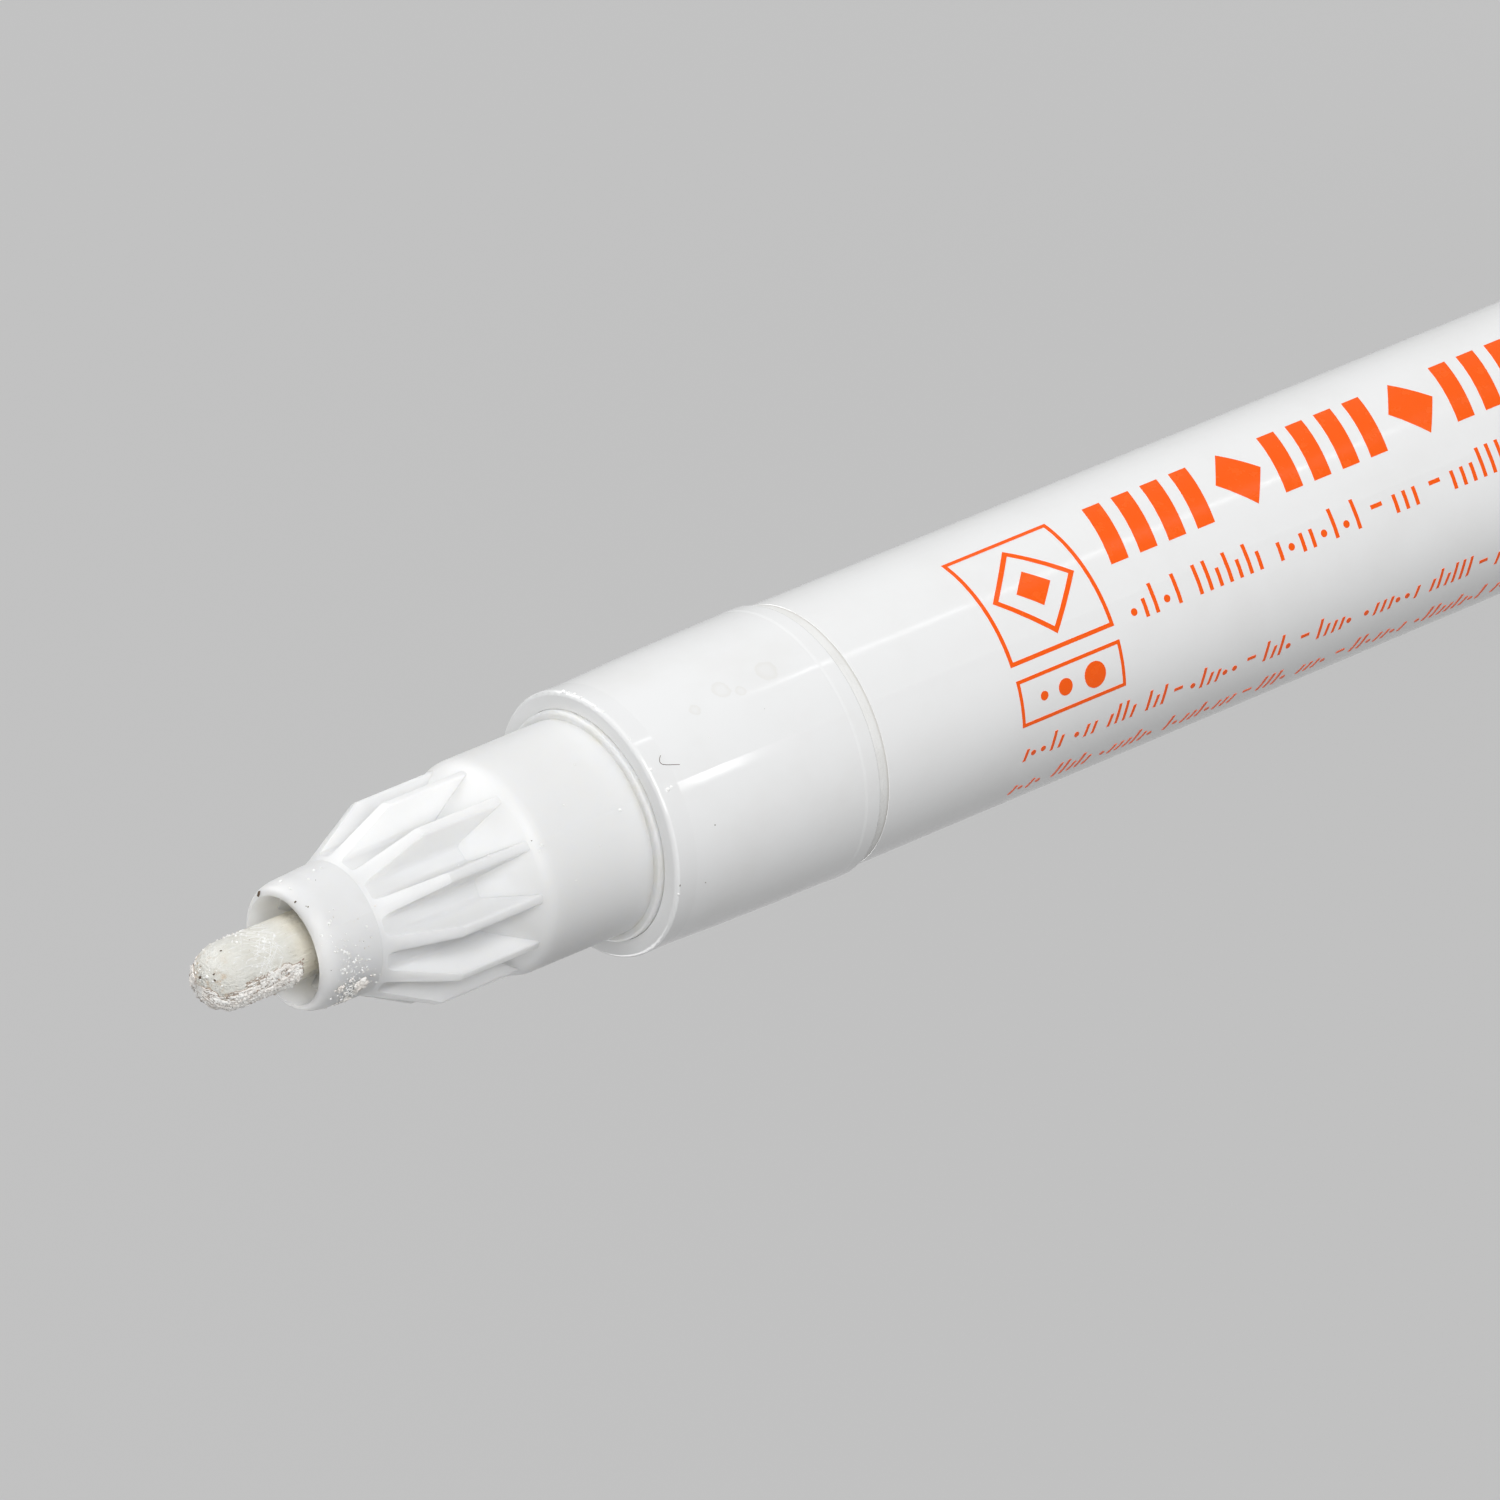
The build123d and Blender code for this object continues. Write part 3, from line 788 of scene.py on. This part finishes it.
def crust_mesh(name):
    """A grid over the nib, kept where the crust stands out of it and closed underneath. Its shade
    attribute is painted shade: dark where the crust is low and in its cracks.
    """
    around_steps, along_steps = 340, 200
    made = bmesh.new()
    shade = made.verts.layers.float.new("shade")
    grid = []
    for row in range(along_steps + 1):
        share = row / along_steps
        if share < rod_share:
            along = crust_rear * (1 - share / rod_share)
        else:
            along = (share - rod_share) / (1 - rod_share) * crust_top
        line = []
        for step in range(around_steps):
            azimuth = 360 * step / around_steps
            point, normal = nib_surface(azimuth, along)
            cover = crust_cover(azimuth, along, point)
            lift, crack_shade = crust_height(point, azimuth, along, cover)
            spot = point + normal * lift
            spot.z = min(spot.z, tip_z - 0.002 * mm)
            vert = made.verts.new(spot)
            # Painted shade: darker where the crust sinks low and along its cracks.
            vert[shade] = max(1 - smooth_step(-0.01, 0.08, lift / mm), 0.95 * crack_shade)
            line.append((vert, lift))
        grid.append(line)
    floor = -0.012 * mm
    for lower, upper in zip(grid, grid[1:]):
        for step in range(around_steps):
            ahead = (step + 1) % around_steps
            corners = [lower[step], lower[ahead], upper[ahead], upper[step]]
            if max(lift for _, lift in corners) > floor:
                made.faces.new([vert for vert, _ in corners])
    loose = [vert for vert in made.verts if not vert.link_faces]
    bmesh.ops.delete(made, geom=loose, context="VERTS")
    piece = piece_from(name, made)
    under = piece.modifiers.new("underside", "SOLIDIFY")
    under.thickness = 0.12 * mm
    under.offset = -1
    return piece


nib_crust = crust_mesh("nib_crust")
nib_crust.data.materials.append(dried_chalk)
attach(nib_crust, "nib_and_plunger")

crumb_count, clean_side_crumbs = 760, 34
crumb_random = random.Random(33)
nib_crumbs = []
while len(nib_crumbs) < crumb_count:
    azimuth = crumb_random.uniform(-180, 180)
    along = crumb_random.uniform(crust_rear + 0.35, 0.96)
    point, normal = nib_surface(azimuth, along)
    cover = crust_cover(azimuth, along, point)
    if crumb_random.random() < 0.025 + cover * 0.6:
        lift = max(0.0, crust_height(point, azimuth, along, cover)[0])
        size = crumb_random.uniform(0.022, 0.062) * mm * (0.45 + 0.7 * cover)
        spot = point + normal * lift * 0.8
        if spot.z + size < tip_z:
            nib_crumbs.append((spot, normal, size))
for _ in range(clean_side_crumbs):
    azimuth, along = crumb_random.gauss(92, 9), crumb_random.uniform(-1.6, 0.85)
    nib_crumbs.append((*nib_surface(azimuth, along), crumb_random.uniform(0.025, 0.065) * mm))
for azimuth, along, size in (
    (88, -0.7, 0.075), (86, -0.75, 0.05), (92, 0.1, 0.04), (84, 0.3, 0.045), (100, 0.42, 0.05),
    (95, 0.55, 0.05),
):
    nib_crumbs.append((*nib_surface(azimuth, along), size * mm))
crumbs_on_nib = crumb_mesh("crumbs_on_nib", nib_crumbs, crumb_random, 0.8, 1, 0.85)
crumbs_on_nib.data.materials.append(dried_chalk)
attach(crumbs_on_nib, "nib_and_plunger")

nib_specks = [(*nib_surface(azimuth, along), size * mm) for azimuth, along, size in (
    (38, 0.80, 0.085), (10, 0.55, 0.045), (-5, 0.58, 0.04), (44, 0.20, 0.04), (60, 0.62, 0.03),
    (-30, 0.78, 0.03), (170, 0.50, 0.04), (120, 0.30, 0.03),
)]
dirt_on_nib = crumb_mesh("dirt_on_nib", nib_specks, speck_random, 0.5, 2)
dirt_on_nib.data.materials.append(dark_dirt)
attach(dirt_on_nib, "nib_and_plunger")

# White grains on the nib: chalk, and painted glints where it sparkles.
grain_count, fibre_count, fibre_steps = 70, 60, 4
grain_random = random.Random(14)
nib_grains = []
for _ in range(grain_count):
    azimuth, along = grain_random.gauss(5, 38), grain_random.uniform(-2.4, 0.9)
    point, normal = nib_surface(azimuth, along)
    size = grain_random.uniform(0.025, 0.075) * mm
    if point.z + 1.3 * size < tip_z:
        nib_grains.append((point, normal, size))
chalk_and_glint_grains_on_nib = crumb_mesh("chalk_and_glint_grains_on_nib", nib_grains, grain_random, 0.7, 1)
chalk_and_glint_grains_on_nib.data.materials.append(white_chalk_and_glints)
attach(chalk_and_glint_grains_on_nib, "nib_and_plunger")

# Fibres that the ground surface has shed, flattened on the nib by the dried ink.
fibre_lines = bpy.data.curves.new("loose_fibres", "CURVE")
fibre_lines.dimensions = "3D"
fibre_lines.bevel_depth = 0.011 * mm
fibre_lines.bevel_resolution = 1
for _ in range(fibre_count):
    azimuth, along = grain_random.gauss(5, 32), grain_random.uniform(-2.2, -0.9)
    lean, length = grain_random.uniform(-30, 30), grain_random.uniform(0.25, 0.75)
    fibre = fibre_lines.splines.new("POLY")
    fibre.points.add(fibre_steps)
    for step, point in enumerate(fibre.points):
        share = step / fibre_steps
        spot, out = nib_surface(azimuth + lean * share, along + length * share)
        point.co = (*(spot + out * 0.012 * mm * (1 + math.sin(share * math.pi))), 1)
loose_fibres = new_piece("loose_fibres", fibre_lines)
loose_fibres.data.materials.append(white_chalk_and_glints)
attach(loose_fibres, "nib_and_plunger")


# ---- Valve and mixing ball ----------------------------------------------------------------------
# Inside the barrel: the satin white valve body, cage and plunger, all moulded and pushed together,
# the black rubber seat between them, and the polished steel ball that stirs the ink.

valve_finish = moulded_plastic(
    "valve_white", (0.78, 0.79, 0.78), (0.66, 0.62, 0.55), 0.18, 0.42, 0.10, 0.02 * mm
)[0]
for node in ("valve_body", "spring_cage", "valve_plunger"):
    finish_node(node, valve_finish)

rubber, tree, shader = new_material("seat_rubber")
place = object_place(tree)
clouds = ramp_up(tree, grain(tree, place, 900, 4), 0.45, 0.75)
bloom = mix_colours(tree, clouds, (0.03, 0.03, 0.03, 1), (0.10, 0.10, 0.10, 1))
tree.links.new(bloom, shader.inputs["Base Color"])
shader.inputs["Roughness"].default_value = 0.7
finish_node("valve_seat", rubber)


def bare_steel(name, colour, roughness, streaks):
    """Steel with drawing or polishing marks in its gloss."""
    material, tree, shader = new_material(name)
    place = object_place(tree)
    marks = grain(tree, place, streaks, 3)
    dulled = [0.85 * part for part in colour]
    tone = mix_colours(tree, ramp_up(tree, marks, 0.35, 0.70), (*colour, 1), (*dulled, 1))
    tree.links.new(tone, shader.inputs["Base Color"])
    tree.links.new(calculate(tree, "MULTIPLY_ADD", marks, 0.12, roughness), shader.inputs["Roughness"])
    shader.inputs["Metallic"].default_value = 1.0
    return material


finish_node("mixing_ball", bare_steel("ball_steel", (0.70, 0.70, 0.70), 0.06, 1500))


# ---- Valve spring -------------------------------------------------------------------------------
# Open coil of hard drawn steel wire, wound on a mandrel and cropped at both ends. It stands on the
# cage's floor. In the marker the plunger's head shortens it by the nib's whole travel; this coil is
# built at its rest length only.

def wound_wire(name, low, high, coil_r, wire_r, turns, steps_per_turn=72, wire_sides=14):
    """A coil of round wire between two heights, with both ends cropped square."""
    rise = high - low
    lead = math.atan2((rise - 2 * wire_r) / turns, math.tau * coil_r)
    path_low = low + wire_r * math.cos(lead)
    path_rise = rise - 2 * wire_r * math.cos(lead)
    made = bmesh.new()
    hoops = []
    for step in range(turns * steps_per_turn + 1):
        turn = math.tau * step / steps_per_turn
        outward = Vector((math.cos(turn), math.sin(turn), 0))
        sideways = Vector((-math.sin(turn), math.cos(turn), 0))
        up = Vector((0, 0, math.cos(lead))) - sideways * math.sin(lead)
        middle = coil_r * outward + Vector((0, 0, path_low + path_rise * step / (turns * steps_per_turn)))
        hoops.append([
            made.verts.new(middle + wire_r * (math.cos(a) * outward + math.sin(a) * up))
            for a in (math.tau * side / wire_sides for side in range(wire_sides))
        ])
    for here, ahead in zip(hoops, hoops[1:]):
        for side in range(wire_sides):
            after = (side + 1) % wire_sides
            made.faces.new((here[side], ahead[side], ahead[after], here[after]))
    made.faces.new(hoops[0])
    made.faces.new(hoops[-1])
    bmesh.ops.recalc_face_normals(made, faces=made.faces)
    return piece_from(name, made, smooth_to=50)


wire_r, spring_turns = 0.175 * mm, 6
spring_low, spring_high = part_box("valve_spring")
wound_spring = wound_wire(
    "wound_spring", spring_low.z, spring_high.z, spring_high.x - wire_r, wire_r, spring_turns
)
wound_spring.data.materials.append(bare_steel("spring_steel", (0.60, 0.60, 0.60), 0.22, 4000))
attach(wound_spring, "pen_body")
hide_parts("valve_spring")
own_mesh(wound_spring)


# ---- Floor, light and camera --------------------------------------------------------------------
# The marker stands on a pale matt floor among large soft lamps a little above its head: one in
# front, one at its printed side and a weaker one behind. Two small strips, close by and low down,
# draw the shine along the barrel and the collar.

floor_size = 6.0
bpy.ops.mesh.primitive_grid_add(x_subdivisions=2, y_subdivisions=2, size=floor_size)
floor = bpy.context.object
floor.name = "floor"

backdrop_grey = 0.48        # what the world shows behind the floor's far edge
floor_grey = 0.18           # the floor's own colour
floor_glow = 0.41           # what it shows to the camera on top of the light that falls on it
sky_light = 0.12            # what the world gives the marker from above


def seen(tree):
    """1 for what the camera sees, straight or in gloss and glass, and 0 for light that bounces."""
    path = add_node(tree, "ShaderNodeLightPath").outputs
    straight = calculate(tree, "MAXIMUM", path["Is Camera Ray"], path["Is Glossy Ray"])
    return calculate(tree, "MAXIMUM", straight, path["Is Transmission Ray"])


floor_finish, tree, shader = new_material("pale_floor")
shader.inputs["Base Color"].default_value = (floor_grey,) * 3 + (1,)
shader.inputs["Roughness"].default_value = 0.9
shader.inputs["Specular IOR Level"].default_value = 0.0
shader.inputs["Emission Color"].default_value = (1, 1, 1, 1)
tree.links.new(times(tree, seen(tree), floor_glow), shader.inputs["Emission Strength"])
floor.data.materials.append(floor_finish)

world = bpy.data.worlds.new("studio")
bpy.context.scene.world = world
world.use_nodes = True
tree = world.node_tree
backdrop, plain = (backdrop_grey,) * 3 + (1,), (sky_light,) * 3 + (1,)
tree.links.new(mix_colours(tree, seen(tree), plain, backdrop), tree.nodes["Background"].inputs["Color"])

marker_head = Vector((0, 0, 105 * mm))


def lamp(name, azimuth, elevation, distance, width, height, level, target=marker_head):
    """A soft lamp aimed at the marker. level is how bright it makes a white card held square to it."""
    towards = direction(azimuth, elevation)
    data = bpy.data.lights.new(name, "AREA")
    data.shape = "RECTANGLE"
    data.size, data.size_y = width, height
    data.energy = level * math.pi ** 2 * distance ** 2
    made = new_piece(name, data)
    made.location = target + towards * distance
    made.rotation_euler = (-towards).to_track_quat("-Z", "Y").to_euler()
    made.visible_camera = False
    return made


lamp("front_lamp", 7, 19, 1.2, 0.9, 0.90, 1.06)
lamp("side_lamp", 107, 12, 1.2, 1.0, 0.55, 0.68)
lamp("back_lamp", -145, 18, 1.2, 0.9, 0.60, 0.44)
strip_spread = math.radians(70)
strip_gain = 7.8            # how much brighter a lamp is straight ahead when it is narrowed to that
for name, azimuth, elevation, distance, width, height, level, target_height in (
    ("barrel_strip", 45.0, -34, 0.125, 0.004, 0.046, 0.019, 84),
    ("collar_strip", -2.6, -33.5, 0.165, 0.015, 0.0032, 0.013, 121.6),
):
    target = Vector((0, 0, target_height * mm))
    strip = lamp(name, azimuth, elevation, distance, width, height, level, target)
    strip.data.spread = strip_spread
    strip.data.energy /= strip_gain

view_middle = Vector((0.010, 0.303, 100.655)) * mm
view_distance = 667.4 * mm
view_roll = -112.47
towards = direction(-1.84, 33.77)
camera_data = bpy.data.cameras.new("camera")
camera_data.angle = math.radians(5.7298)
camera_data.clip_start, camera_data.clip_end = 0.01, 50
camera = new_piece("camera", camera_data)
camera.matrix_world = (
    Matrix.Translation(view_middle + towards * view_distance)
    @ towards.to_track_quat("Z", "Y").to_matrix().to_4x4()
    @ Matrix.Rotation(math.radians(view_roll), 4, "Z")
)
bpy.context.scene.camera = camera
bpy.context.scene.view_settings.view_transform = "Standard"
